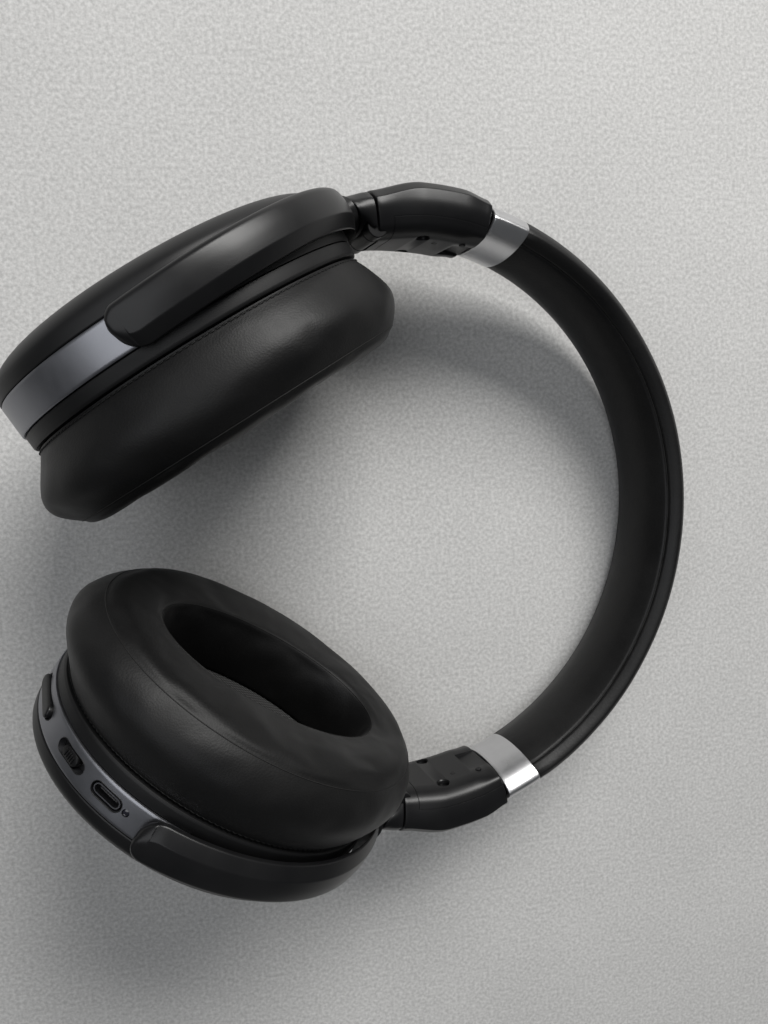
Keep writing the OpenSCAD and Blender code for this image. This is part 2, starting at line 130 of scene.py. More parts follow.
def place(kind, side="left"):
    """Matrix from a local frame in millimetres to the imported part's frame in metres."""
    m = Matrix.Scale(0.001, 4) @ shift(*REST_SHIFT) @ turn(REST_PITCH, "Y")
    if side == "right":
        m = m @ Matrix.Scale(-1, 4, Vector((0, 1, 0)))
    if kind == "band":
        return m
    # u, w, n of a cup: w is up, which is -Y of the frame that the rotations give
    m = m @ shift(*CUP_PLACE) @ turn(180 + TOE, "Z") @ turn(-90, "X")
    if kind in ("yoke", "housing"):
        m = m @ shift(0, 0, STEM_N) @ turn(SWIVEL[side], "X") @ shift(0, 0, -STEM_N)
    if kind == "housing":
        m = m @ shift(TILT_U, 0, TILT_N) @ turn(-TILT[side], "Y") @ shift(-TILT_U, 0, -TILT_N)
    return m @ Matrix.Scale(-1, 4, Vector((0, 1, 0)))


PIVOT = turn(SEAM_ANGLE, "Z") @ shift(PIVOT_R, 0, 0)


def band_point(angle, across, z):
    """A point of the headband's arc: across is the distance outside its centre line."""
    a = math.radians(angle)
    return Vector(((BAND_R + across) * math.cos(a), (BAND_R + across) * math.sin(a), z))


def ring_point(angle, out, n):
    """A point at a distance outside the cup's oval, measured square to it."""
    a = math.radians(angle)
    normal = Vector((CUP_B * math.cos(a), CUP_A * math.sin(a), 0)).normalized()
    return Vector((CUP_A * math.cos(a), CUP_B * math.sin(a), n)) + normal * out


def ring_matrix(angle):
    """Frame on the ring: X along it, Y toward the ear, Z out of it."""
    p = ring_point(angle, 0, 0)
    z = (ring_point(angle, 1, 0) - ring_point(angle, 0, 0)).normalized()
    y = Vector((0, 0, 1))
    x = y.cross(z)
    m = Matrix((x, y, z)).transposed().to_4x4()
    m.translation = p
    return m


def control_place(angle):
    """Matrix for a control on the right cup's ring."""
    return place("housing", "right") @ ring_matrix(angle)


# ---- Mesh helpers ----

def add_object(name, data):
    obj = bpy.data.objects.new(name, data)
    bpy.context.scene.collection.objects.link(obj)
    return obj


def shade(bm, sharp):
    """Smooth faces, with every edge that turns more than sharp degrees kept crisp."""
    limit = math.radians(sharp)
    for f in bm.faces:
        f.smooth = True
    for e in bm.edges:
        e.smooth = len(e.link_faces) != 2 or e.calc_face_angle(0) < limit


def skin(parts, matrix):
    """A bmesh from a list of (vertices, faces) in local millimetres."""
    bm = bmesh.new()
    for verts, faces in parts:
        made = [bm.verts.new(matrix @ Vector(v)) for v in verts]
        for f in faces:
            try:
                bm.faces.new([made[i] for i in f])
            except ValueError:
                pass
    return bm


def finish_mesh(bm, name, material):
    mesh = bpy.data.meshes.new(name)
    bm.to_mesh(mesh)
    bm.free()
    mesh.materials.append(material)
    return add_object(name, mesh)


def piece(name, parts, matrix, material, sharp=38):
    """One mesh object from a list of (vertices, faces) in local millimetres."""
    bm = skin(parts, matrix)
    bmesh.ops.remove_doubles(bm, verts=bm.verts, dist=1e-6)
    bmesh.ops.dissolve_degenerate(bm, edges=bm.edges, dist=1e-7)
    bmesh.ops.recalc_face_normals(bm, faces=bm.faces)
    shade(bm, sharp)
    return finish_mesh(bm, name, material)


def settle(obj, node, slot, *more):
    """obj stands for CAD node (and more) and rides on its body; slot is not used."""
    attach(obj, BODY_OF[node])
    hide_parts(node, *more)
    return obj


def detail(obj, body, slot):
    """obj stands for no CAD node: it rides on a body; slot is not used."""
    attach(obj, body)
    return obj


def loft(sections, loop=False, caps=True):
    """Skin through closed sections of equal point count; loop joins the last to the first."""
    count = len(sections[0])
    verts = [p for s in sections for p in s]
    faces = []
    steps = len(sections) if loop else len(sections) - 1
    for i in range(steps):
        a, b = i * count, ((i + 1) % len(sections)) * count
        for j in range(count):
            k = (j + 1) % count
            faces.append((a + j, a + k, b + k, b + j))
    if caps and not loop:
        faces.append(tuple(range(count)))
        faces.append(tuple(range(len(verts) - count, len(verts)))[::-1])
    return verts, faces


def rounded(points, radii, steps=4):
    """Closed outline with each corner rounded by its radius, the same number of points each."""
    out = []
    count = len(points)
    for i, p in enumerate(points):
        p = Vector(p)
        a = Vector(points[i - 1]) - p
        b = Vector(points[(i + 1) % count]) - p
        r = min(radii[i], a.length * 0.45, b.length * 0.45)
        start, end = p + a.normalized() * r, p + b.normalized() * r
        for k in range(steps + 1):
            t = k / steps
            out.append(start * (1 - t) ** 2 + p * 2 * t * (1 - t) + end * t * t)
    return out


def resample(points, count):
    """Closed outline with points spread evenly along it."""
    pts = [Vector(p) for p in points]
    lengths = [(pts[(i + 1) % len(pts)] - p).length for i, p in enumerate(pts)]
    total = sum(lengths)
    out, i, passed = [], 0, 0.0
    for k in range(count):
        target = total * k / count
        while passed + lengths[i] < target:
            passed += lengths[i]
            i += 1
        t = (target - passed) / max(lengths[i], 1e-9)
        out.append(pts[i].lerp(pts[(i + 1) % len(pts)], t))
    return out


def tube(path, radius, sides=8, closed=False):
    """A round tube along a path of points."""
    sections = []
    count = len(path)
    for i, p in enumerate(path):
        a = path[(i - 1) % count] if closed or i else path[0]
        b = path[(i + 1) % count] if closed or i < count - 1 else path[-1]
        along = (Vector(b) - Vector(a)).normalized()
        side_way = along.cross(Vector((0, 0, 1)))
        if side_way.length < 0.05:
            side_way = along.cross(Vector((1, 0, 0)))
        side_way.normalize()
        up = side_way.cross(along)
        sections.append([
            Vector(p) + side_way * radius * math.cos(2 * math.pi * k / sides)
            + up * radius * math.sin(2 * math.pi * k / sides)
            for k in range(sides)
        ])
    return loft(sections, loop=closed)


def circle(radius, count=40):
    turns = [2 * math.pi * k / count for k in range(count)]
    return [(radius * math.cos(a), radius * math.sin(a)) for a in turns]


def turned(profile, matrix, sides=40):
    """Rings round the matrix's Z through (radius, height) points."""
    return [[matrix @ Vector((x, y, h)) for x, y in circle(r, sides)] for r, h in profile]


def solid_turn(profile, matrix, sides=40):
    """Solid of revolution, closed flat at both ends."""
    return loft(turned(profile, matrix, sides))


def pill_outline(length, height, steps=10):
    half, r = (length - height) / 2, height / 2
    out = []
    for centre, start in ((half, -90), (-half, 90)):
        for k in range(steps + 1):
            a = math.radians(start + 180 * k / steps)
            out.append((centre + r * math.cos(a), r * math.sin(a)))
    return out


def prism(outline, low, high, matrix, edge=0.0):
    """Extruded outline, with a small round at its top."""
    levels = [(low, 0.0)]
    if edge:
        levels += [(high - edge, 0.0), (high - 0.3 * edge, 0.3 * edge), (high, edge)]
    else:
        levels += [(high, 0.0)]
    centre = sum((Vector(p) for p in outline), Vector((0, 0))) / len(outline)
    sections = []
    for level, inset in levels:
        section = []
        for p in outline:
            away = Vector(p) - centre
            q = Vector(p) - away.normalized() * inset
            section.append(matrix @ Vector((q.x, q.y, level)))
        sections.append(section)
    return loft(sections)


def box_part(size, matrix):
    x, y, z = (s / 2 for s in size)
    return prism([(-x, -y), (x, -y), (x, y), (-x, y)], -z, z, matrix)


def cut(obj, cutter_parts, matrix, operation="DIFFERENCE"):
    """Takes the given closed parts out of obj, or keeps only what they share with it."""
    cutter = piece("cutter", cutter_parts, matrix, obj.data.materials[0])
    mod = obj.modifiers.new("cut", "BOOLEAN")
    mod.operation = operation
    mod.solver = "EXACT"
    mod.object = cutter
    bake_modifiers(obj)
    bpy.data.objects.remove(cutter)
    return obj


def bake_modifiers(obj, sharp=38):
    """Applies obj's modifiers to its mesh and shades it again."""
    dg = bpy.context.evaluated_depsgraph_get()
    mesh = bpy.data.meshes.new_from_object(obj.evaluated_get(dg))
    obj.modifiers.clear()
    obj.data = mesh
    bm = bmesh.new()
    bm.from_mesh(mesh)
    shade(bm, sharp)
    for f in bm.faces:
        f.material_index = 0
    bm.to_mesh(mesh)
    bm.free()


def edge_bevel(obj, width, angle=35, segments=2):
    """Small bevel that catches light on sharp edges."""
    mod = obj.modifiers.new("edges", "BEVEL")
    mod.width = width * 0.001
    mod.segments = segments
    mod.limit_method = "ANGLE"
    mod.angle_limit = math.radians(angle)
    mod.harden_normals = False
    return obj


def smoothstep(a, b, x):
    t = min(max((x - a) / (b - a), 0.0), 1.0)
    return t * t * (3 - 2 * t)


def mix(a, b, t):
    return a + (b - a) * t


# ---- Materials ----

class Nodes:
    """A material's node tree, with short calls for the nodes used here."""

    def __init__(self, name):
        self.mat = bpy.data.materials.new(name)
        self.mat.use_nodes = True
        self.tree = self.mat.node_tree
        self.shader = self.tree.nodes["Principled BSDF"]
        self.place = self.add("ShaderNodeTexCoord").outputs["Object"]

    def add(self, kind, values=None, vector=None, **settings):
        """A node with the values of its inputs and, where it has one, its vector's source."""
        node = self.tree.nodes.new(kind)
        for key, value in settings.items():
            setattr(node, key, value)
        for key, value in (values or {}).items():
            node.inputs[key].default_value = value
        if vector:
            self.link(vector, node.inputs["Vector"])
        return node

    def link(self, a, b):
        self.tree.links.new(a, b)

    def shape(self, **values):
        for key, value in values.items():
            self.shader.inputs[key.replace("_", " ")].default_value = value

    def noise(self, size_mm, detail=2.0, roughness=0.5, place=None):
        values = {"Scale": 1000.0 / size_mm, "Detail": detail, "Roughness": roughness}
        return self.add("ShaderNodeTexNoise", values, place or self.place).outputs["Fac"]

    def cells(self, size_mm, feature="F1"):
        values = {"Scale": 1000.0 / size_mm}
        return self.add("ShaderNodeTexVoronoi", values, self.place, feature=feature).outputs["Distance"]

    def mapped(self, values):
        return self.add("ShaderNodeMapping", values, self.place).outputs["Vector"]

    def ramp(self, value, low, high, colours):
        node = self.add("ShaderNodeValToRGB")
        node.color_ramp.elements[0].position = low
        node.color_ramp.elements[1].position = high
        for element, colour in zip(node.color_ramp.elements, colours):
            element.color = (*colour, 1.0)
        self.link(value, node.inputs["Fac"])
        return node.outputs["Color"]

    def span(self, value, low, high, source=(0.25, 0.75)):
        ends = {"From Min": source[0], "From Max": source[1], "To Min": low, "To Max": high}
        node = self.add("ShaderNodeMapRange", ends)
        self.link(value, node.inputs["Value"])
        return node.outputs["Result"]

    def sum(self, a, b, share):
        """a plus share times b"""
        node = self.add("ShaderNodeMath", {1: share}, operation="MULTIPLY_ADD")
        self.link(b, node.inputs[0])
        self.link(a, node.inputs[2])
        return node.outputs[0]

    def bump(self, height, depth_mm, strength=1.0, below=None):
        node = self.add("ShaderNodeBump", {"Distance": depth_mm * 0.001, "Strength": strength})
        self.link(height, node.inputs["Height"])
        if below is not None:
            self.link(below, node.inputs["Normal"])
        return node.outputs["Normal"]

    def done(self, colour=None, roughness=None, normal=None):
        for key, value in (("Base Color", colour), ("Roughness", roughness), ("Normal", normal)):
            if value is not None:
                self.link(value, self.shader.inputs[key])
        return self.mat


def leather(name, dark, light, grain_mm, depth_mm, rough):
    """Protein leather: pebbled grain with pores, a soft broad sheen and slight handling marks."""
    n = Nodes(name)
    n.shape(Specular_IOR_Level=0.26, Sheen_Weight=0.02, Sheen_Roughness=0.45)
    patches = n.noise(22, 3)
    grain = n.cells(grain_mm)
    pores = n.noise(grain_mm * 0.35, 2)
    wrinkles = n.noise(6, 4, 0.62)
    colour = n.ramp(n.sum(patches, grain, 0.25), 0.35, 0.95, (dark, light))
    roughness = n.span(n.sum(patches, wrinkles, 0.6), rough - 0.05, rough + 0.08, (0.5, 1.1))
    broad = n.bump(wrinkles, 0.10, 0.6)
    fine = n.bump(n.sum(grain, pores, 0.4), depth_mm, 0.8, broad)
    return n.done(colour, roughness, fine)


def moulded(name, dark, light, rough, texture_mm=0.22, depth_mm=0.012):
    """Moulded plastic: spark-eroded fine texture, faint flow and handling marks, and sharp edges painted
    paler as a highlight.
    """
    n = Nodes(name)
    n.shape(Specular_IOR_Level=0.32)
    clouds = n.noise(30, 4, 0.6)
    texture = n.noise(texture_mm, 1.5)
    # Sharp convex edges are painted paler: a painted highlight along them
    edge = n.add("ShaderNodeNewGeometry").outputs["Pointiness"]
    edge_highlight = n.span(edge, 0.0, 0.6, (0.52, 0.60))
    colour = n.ramp(n.sum(clouds, edge_highlight, 0.35), 0.3, 0.9, (dark, light))
    roughness = n.span(clouds, rough - 0.06, rough + 0.06, (0.3, 0.7))
    return n.done(colour, roughness, n.bump(texture, depth_mm, 0.7))


def metal(name, dark, light, rough, grain_mm=0.18, depth_mm=0.006, lines=None):
    """Satin metal: blasted grain, or drawn lines along one axis, with smudges in its gloss."""
    n = Nodes(name)
    n.shape(Metallic=1.0)
    smudge = n.noise(14, 4, 0.6)
    where = n.mapped({"Scale": lines}) if lines else None
    grain = n.noise(grain_mm, 2, 0.6, where)
    colour = n.ramp(n.sum(smudge, grain, 0.3), 0.35, 0.95, (dark, light))
    roughness = n.span(n.sum(smudge, grain, 0.4), rough - 0.05, rough + 0.08, (0.4, 1.0))
    return n.done(colour, roughness, n.bump(grain, depth_mm, 0.7))


def mesh_cloth(name):
    """Knitted speaker cloth: two crossed rows of threads with open pores."""
    n = Nodes(name)
    n.shape(Specular_IOR_Level=0.2, Sheen_Weight=0.25, Sheen_Roughness=0.5)
    height = None
    for angle in (45, -45):
        turned_place = n.mapped({"Rotation": (math.radians(90), 0, math.radians(angle))})
        wave = n.add("ShaderNodeTexWave", {"Scale": 330.0, "Distortion": 0.3}, turned_place,
                     wave_type="BANDS")
        height = wave.outputs["Fac"] if height is None else n.sum(height, wave.outputs["Fac"], 1.0)
    colour = n.ramp(height, 0.3, 1.6, ((0.0012, 0.0012, 0.0012), (0.0070, 0.0068, 0.0066)))
    roughness = n.span(n.noise(5, 3), 0.8, 0.95)
    return n.done(colour, roughness, n.bump(height, 0.12, 0.8))


def board(name):
    """Green solder mask with traces and pads."""
    n = Nodes(name)
    traces = n.cells(2.4, "DISTANCE_TO_EDGE")
    colour = n.ramp(traces, 0.04, 0.10, ((0.35, 0.24, 0.07), (0.006, 0.05, 0.02)))
    roughness = n.span(n.noise(4), 0.25, 0.4)
    return n.done(colour, roughness, n.bump(traces, 0.03, 0.5))


def wrap(name):
    """Battery wrap: silvery film with creases."""
    n = Nodes(name)
    n.shape(Metallic=0.6)
    creases = n.noise(7, 5, 0.7)
    colour = n.ramp(creases, 0.3, 0.7, ((0.35, 0.36, 0.38), (0.62, 0.63, 0.65)))
    return n.done(colour, n.span(creases, 0.25, 0.45), n.bump(creases, 0.15, 0.6))


def lens(name):
    """Smoked light pipe."""
    n = Nodes(name)
    n.shape(Specular_IOR_Level=0.7, Coat_Weight=0.6, Coat_Roughness=0.05)
    haze = n.noise(0.6, 2)
    colour = n.ramp(haze, 0.3, 0.8, ((0.004, 0.004, 0.007), (0.016, 0.016, 0.026)))
    return n.done(colour, n.span(haze, 0.08, 0.2), n.bump(haze, 0.01, 0.4))


LEATHER = leather("cover_leather", (0.0034, 0.0034, 0.0036), (0.0100, 0.0098, 0.0098), 0.55, 0.030, 0.46)
CUSHION = leather("cushion_leather", (0.0020, 0.0020, 0.0022), (0.0056, 0.0055, 0.0055), 0.45, 0.022, 0.48)
THREAD = leather("seam_thread", (0.0040, 0.0040, 0.0040), (0.0120, 0.0118, 0.0115), 0.25, 0.040, 0.6)
CORE = moulded("core_plastic", (0.0060, 0.0060, 0.0065), (0.016, 0.016, 0.017), 0.55)
ARM = moulded("arm_plastic", (0.0036, 0.0036, 0.0041), (0.0105, 0.0105, 0.0110), 0.34)
YOKE = moulded("yoke_plastic", (0.0038, 0.0038, 0.0043), (0.0110, 0.0110, 0.0115), 0.34)
CAP = moulded("cap_plastic", (0.0032, 0.0032, 0.0036), (0.0090, 0.0090, 0.0096), 0.44)
HOUSING = moulded("housing_plastic", (0.0022, 0.0022, 0.0025), (0.0062, 0.0062, 0.0066), 0.48)
RUBBER = moulded("control_rubber", (0.0022, 0.0022, 0.0025), (0.0062, 0.0062, 0.0066), 0.42, 0.15)
RING = metal("ring_metal", (0.215, 0.218, 0.235), (0.300, 0.304, 0.326), 0.36)
SLEEVE = metal("sleeve_metal", (0.58, 0.58, 0.59), (0.74, 0.74, 0.75), 0.30)
SPRING = metal("spring_steel", (0.42, 0.43, 0.45), (0.60, 0.61, 0.63), 0.30, 0.4, 0.01, (1.0, 1.0, 14.0))
DRIVER = metal("driver_metal", (0.30, 0.30, 0.31), (0.48, 0.48, 0.50), 0.42, 0.5, 0.01)
SCREW = metal("screw_steel", (0.030, 0.030, 0.032), (0.065, 0.065, 0.068), 0.34)
PORT = metal("port_metal", (0.16, 0.16, 0.17), (0.30, 0.30, 0.32), 0.28)
CLOTH = mesh_cloth("ear_cloth")
BOARD = board("board_green")
CELL = wrap("cell_wrap")
LENS = lens("led_plastic")
# Every material here is named after its slot
SLOT_MATERIAL = {m.name.split(".")[0]: m for m in (
    LEATHER, CUSHION, CORE, ARM, YOKE, CAP, HOUSING, RUBBER, RING, SLEEVE, SPRING, DRIVER, SCREW, PORT,
    CLOTH, BOARD, CELL, LENS)}


def carry_over():
    """CAD nodes that stay as they are get their slot's material."""
    for name, obj in frame["nodes"].items():
        old = obj.data.materials[0].name.split(".")[0] if obj.data.materials else ""
        material = SLOT_MATERIAL.get(old)
        if material is None:
            print("no slot for", name, old)
            continue
        for i in range(len(obj.data.materials)):
            obj.data.materials[i] = material


carry_over()


# ---- Headband ----

def lens_outline(t, w, seams=(), depth=0.0, width=0.3, count=72):
    """Padded band's section: x out of the band, z across it, with grooves at the inner seams."""
    angles = [360.0 * i / count for i in range(count)]
    for seam in seams:
        base = math.degrees(math.acos(seam / w))
        for offset in (-0.9, -0.45, -0.22, 0, 0.22, 0.45, 0.9):
            angles.append(180 + base + math.degrees(offset / (w * math.sin(math.radians(base)))))
    out = []
    for a in sorted(x % 360 for x in angles):
        s, c = math.sin(math.radians(a)), math.cos(math.radians(a))
        x = t * math.copysign(abs(s) ** 1.3, s)
        z = -w * c
        for seam in seams:
            if x < 0:
                x += depth * math.exp(-((z - seam) / width) ** 2)
        out.append((x, z))
    return out


def headband_cover():
    """Padded leather over the core, with a sewn panel inside and tucks beside the sleeves."""
    steps = 230
    sections = []
    seams = (-11.3, 11.3)
    for i in range(steps + 1):
        angle = mix(-PAD_ANGLE, PAD_ANGLE, i / steps)
        from_end = (PAD_ANGLE - abs(angle)) * math.pi / 180 * BAND_R
        swell = 1 - 0.035 * math.exp(-from_end / 1.6)
        section = []
        for x, z in lens_outline(BAND_T, BAND_W, seams, 0.42, 0.28):
            p = band_point(angle, x, z)
            puff = noise.noise(p * 0.045) * 0.10
            tuck = noise.noise(Vector((angle * 0.25, z * 1.1, x * 1.1))) * 0.16 * math.exp(-from_end / 4.5)
            inside = 0.10 * math.exp(-((abs(z) - 8.6) / 1.6) ** 2) if x < 0 else 0
            grow = swell * (1 + (puff + tuck) / BAND_T)
            section.append(band_point(angle, (x + inside) * grow, z * min(grow, 1.0)))
        sections.append(section)
    obj = piece("headband_leather", [loft(sections)], place("band"), LEATHER, 60)
    settle(obj, "headband_cover", "cover_leather")
    for j, seam in enumerate(seams):
        path = [band_point(a, -BAND_T * math.sin(math.acos(seam / BAND_W)) ** 1.3 + 0.18, seam)
                for a in np.linspace(-PAD_ANGLE + 0.2, PAD_ANGLE - 0.2, 240)]
        thread = piece(f"headband_thread_{j}", [tube(path, 0.17, 6)], place("band"), THREAD, 60)
        detail(thread, "headband", "cover_leather")


def sleeve(side):
    """Polished metal sleeve: softly rounded rims, thin wall and a dark insert round the slider."""
    count = 96
    t, w = BAND_T - 0.02, BAND_W + 0.08
    start, end = PAD_ANGLE, SLEEVE_ANGLE
    rows = [(start - 0.35 * MM, -0.9), (start - 0.3 * MM, -0.35), (start - 0.1 * MM, -0.05)]
    rows += [(mix(start + 0.15 * MM, end - 0.4 * MM, i / 12), 0.0) for i in range(13)]
    rows += [(end - 0.15 * MM, -0.08), (end, -0.32), (end, -0.95), (end - 0.9 * MM, -1.05),
             (end - 0.95 * MM, -1.6)]
    sections = [[band_point(a, x, z) for x, z in lens_outline(t + d, w + 1.25 * d, count=count)]
                for a, d in rows]
    obj = piece(f"sleeve_metal_{side}", [loft(sections)], place("band", side), SLEEVE, 30)
    settle(obj, f"sleeve_{side}", "sleeve_metal")
    # The insert: a plate with the slider's slot
    outline = lens_outline(t - 1.1, w - 1.4, count=count)
    slot_x, slot_z = 1.0, 4.95
    inner = []
    for x, z in outline:
        scale = max(abs(x) / slot_x, abs(z) / slot_z, 1e-6)
        inner.append((x / scale, z / scale))
    lean = (1 - math.cos(math.radians(end - SLIDE_ANGLE))) * BAND_R
    slot = [(x + lean, z) for x, z in inner]
    eased = [(x * 0.97, z * 0.99) for x, z in outline]
    rows = ((1.6, outline), (0.75, outline), (0.65, eased), (0.65, slot), (1.6, slot))
    sections = [[band_point(end - back * MM, x, z) for x, z in points] for back, points in rows]
    plate = piece(f"sleeve_insert_{side}", [loft(sections, loop=True)], place("band", side), CORE, 35)
    detail(plate, "headband", "core_plastic")


# ---- Arms ----

def arm_outline(shrink=0.0, taper=0.0, steps=4):
    """Whole section of an arm: flat faces, wide crisp bevels outside, softer ones inside."""
    inn = ARM_T - shrink * 0.9
    out = inn - taper * 1.5
    w = ARM_W - shrink * 0.6 - taper * 1.9
    half = [(-inn, w - 5.5), (-inn + 0.6, w - 3.4), (SPLIT - 2.4, w - 1.4), (SPLIT + 0.7, w - 0.3),
            (SPLIT + 3.2, w), (out - 2.9, w - 0.5), (out - 0.5, w - 3.6), (out, w - 6.3)]
    radii = [2.5, 1.2, 2.0, 2.0, 2.0, 0.35, 1.2, 3.0]
    points = half + [(x, -z) for x, z in reversed(half)]
    return rounded(points, radii + radii[::-1], steps)


def arm_solid(side, name):
    """The arm's whole form: chamfered toward the sleeve and narrowing to its seam."""
    end = SEAM_ANGLE - 0.15
    stations = [(ARM_START, 1.25), (ARM_START + 0.12 * MM, 0.95), (ARM_START + 0.5 * MM, 0.8)]
    stations += [(ARM_START + s * MM, mix(0.8, 0.0, smoothstep(0.5, 7.5, s)))
                 for s in (1.5, 2.5, 3.5, 4.5, 5.5, 6.5, 7.5)]
    stations += [(a, 0.0) for a in np.linspace(ARM_START + 8.5 * MM, end - 0.35 * MM, 34)]
    stations += [(end - 0.12 * MM, 0.12), (end, 0.38)]
    sections = []
    for angle, shrink in stations:
        taper = smoothstep(13.0, 0.0, (end - angle) / MM)
        sections.append([band_point(angle, p.x, p.y) for p in arm_outline(shrink, taper)])
    return piece(name, [loft(sections)], place("band", side), ARM, 28)


def inside_space(limit, to):
    """Everything inside the split line, up to an angle."""
    deep, wide = -ARM_T - 2, ARM_W + 2
    corners = ((deep, -wide), (limit, -wide), (limit, wide), (deep, wide))
    turns = np.linspace(ARM_START - 1, to, 40)
    return loft([[band_point(angle, x, z) for x, z in corners] for angle in turns])


def arm_shell(side):
    """Outer shell of the arm, with the fold hinge's two lugs and the slot between them."""
    matrix = place("band", side)
    obj = arm_solid(side, f"arm_outer_{side}")
    cut(obj, [inside_space(SPLIT + 0.02, COVER_END + 0.1)], matrix)
    cut(obj, [prism(circle(3.05), -LUG_IN, LUG_IN, PIVOT)], matrix)
    edge_bevel(obj, 0.10, 40, 1)
    bake_modifiers(obj, 28)
    settle(obj, f"arm_shell_{side}", "arm_plastic")
    high = LUG_OUT - LUG_IN
    lug_side = ((1.05, 0), (BARREL_R - 0.2, 0), (BARREL_R, 0.2), (BARREL_R, high - 0.2),
                (BARREL_R - 0.2, high), (1.05, high))
    lugs = [solid_turn([(r, low + h) for r, h in lug_side], PIVOT, 48) for low in (-LUG_OUT, LUG_IN)]
    lug = piece(f"arm_lugs_{side}", lugs, matrix, ARM, 30)
    detail(lug, f"arm_{side}", "arm_plastic")


def arm_cover(side):
    """Inner cover of the arm, with its two screw wells and the shallow recess beside the sleeve."""
    matrix = place("band", side)
    obj = arm_solid(side, f"arm_inner_{side}")
    cut(obj, [inside_space(SPLIT - 0.05, COVER_END)], matrix, "INTERSECT")
    cutters = []
    for up in (-1, 1):
        well = turn(88.7, "Z") @ shift(BAND_R - ARM_T - 1, 0, up * 7.5) @ turn(90, "Y")
        cutters.append(solid_turn([(1.95, 0), (1.95, 1.1), (1.7, 1.35), (1.7, 3.0)], well, 36))
    cutters.append(box_part((2.2, 7.2, 10.0), turn(ARM_START, "Z") @ shift(BAND_R - ARM_T + 0.1, 2.6, 0)))
    cut(obj, cutters, matrix)
    edge_bevel(obj, 0.10, 40)
    bake_modifiers(obj, 28)
    settle(obj, f"arm_cover_{side}", "arm_plastic")
    for angle, z in ((85.0, 4.0), (79.6, 6.6)):
        well = turn(angle, "Z") @ shift(BAND_R - ARM_T + 0.12, 0, z) @ turn(-90, "Y")
        head = solid_turn([(0.9, -0.6), (0.9, 0.1), (0.7, 0.22), (0.02, 0.2)], well, 24)
        peg = piece(f"arm_peg_{side}_{round(angle)}", [head], matrix, RUBBER, 30)
        detail(peg, f"arm_{side}", "arm_plastic")


def paired(a, b):
    """b's points turned and ordered so that a skin from a doesn't twist."""
    ca, cb = sum(a, Vector()) / len(a), sum(b, Vector()) / len(b)
    pa = np.array([p - ca for p in a])
    best = None
    for points in (b, b[::-1]):
        pb = np.array([p - cb for p in points])
        for k in range(len(b)):
            cost = float(((pa - np.roll(pb, -k, axis=0)) ** 2).sum())
            if best is None or cost < best[0]:
                best = (cost, points[k:] + points[:k])
    return best[1]


def knuckle(side):
    """Collar between the arm's seam and the yoke: from the arm's section to an upright oval."""
    count = 96
    matrix = place("band", side)
    cup_to_band = matrix.inverted() @ place("cup", side)
    start = [band_point(SEAM_ANGLE + 0.12, p.x, p.y) for p in resample(arm_outline(0.30, 1.0), count)]
    oval = [(5.3 * math.sin(a), 11.2 * math.cos(a)) for a in np.linspace(0, 2 * math.pi, 200)[:-1]]
    end = paired(start, [cup_to_band @ Vector((YOKE_ROOT - 0.1, p.y, 0.2 + p.x))
                         for p in resample(oval, count)])
    centre_a, centre_b = sum(start, Vector()) / count, sum(end, Vector()) / count
    sections = []
    for t, size in ((0.0, 0.955), (0.02, 0.985), (0.06, 1.0), (0.25, 1.0), (0.5, 1.0), (0.75, 1.0),
                    (0.94, 1.0), (0.985, 0.985), (1.0, 0.95)):
        share = smoothstep(0, 1, t)
        centre = centre_a.lerp(centre_b, t)
        sections.append([centre + (a - centre_a).lerp(b - centre_b, share) * size
                         for a, b in zip(start, end)])
    obj = piece(f"knuckle_body_{side}", [loft(sections)], matrix, ARM, 32)
    cut(obj, [box_part((8, 3.9, 2 * ARM_W + 2), PIVOT @ shift(-4, 0.9, 0))], matrix)
    wells = ((-LUG_OUT - 0.3, -LUG_IN + 0.3), (LUG_IN - 0.3, LUG_OUT + 0.3))
    cut(obj, [prism(circle(3.0), low, high, PIVOT) for low, high in wells], matrix)
    settle(obj, f"knuckle_{side}", "arm_plastic")
    drum = [(1.06, -5.0), (BARREL_R - 0.25, -5.0), (BARREL_R, -4.8), (BARREL_R, 4.8),
            (BARREL_R - 0.25, 5.0), (1.06, 5.0)]
    barrel = piece(f"knuckle_barrel_{side}", [solid_turn(drum, PIVOT, 48)], matrix, ARM, 30)
    detail(barrel, f"hinge_{side}", "arm_plastic")
    pin = [(0.02, -9.2), (PIN_R - 0.15, -9.2), (PIN_R, -9.05), (PIN_R, 9.05), (PIN_R - 0.15, 9.2),
           (0.02, 9.2)]
    obj = piece(f"hinge_pin_{side}", [solid_turn(pin, PIVOT, 32)], matrix, SPRING, 30)
    settle(obj, f"fold_pin_{side}", "spring_steel")


# ---- Yoke ----

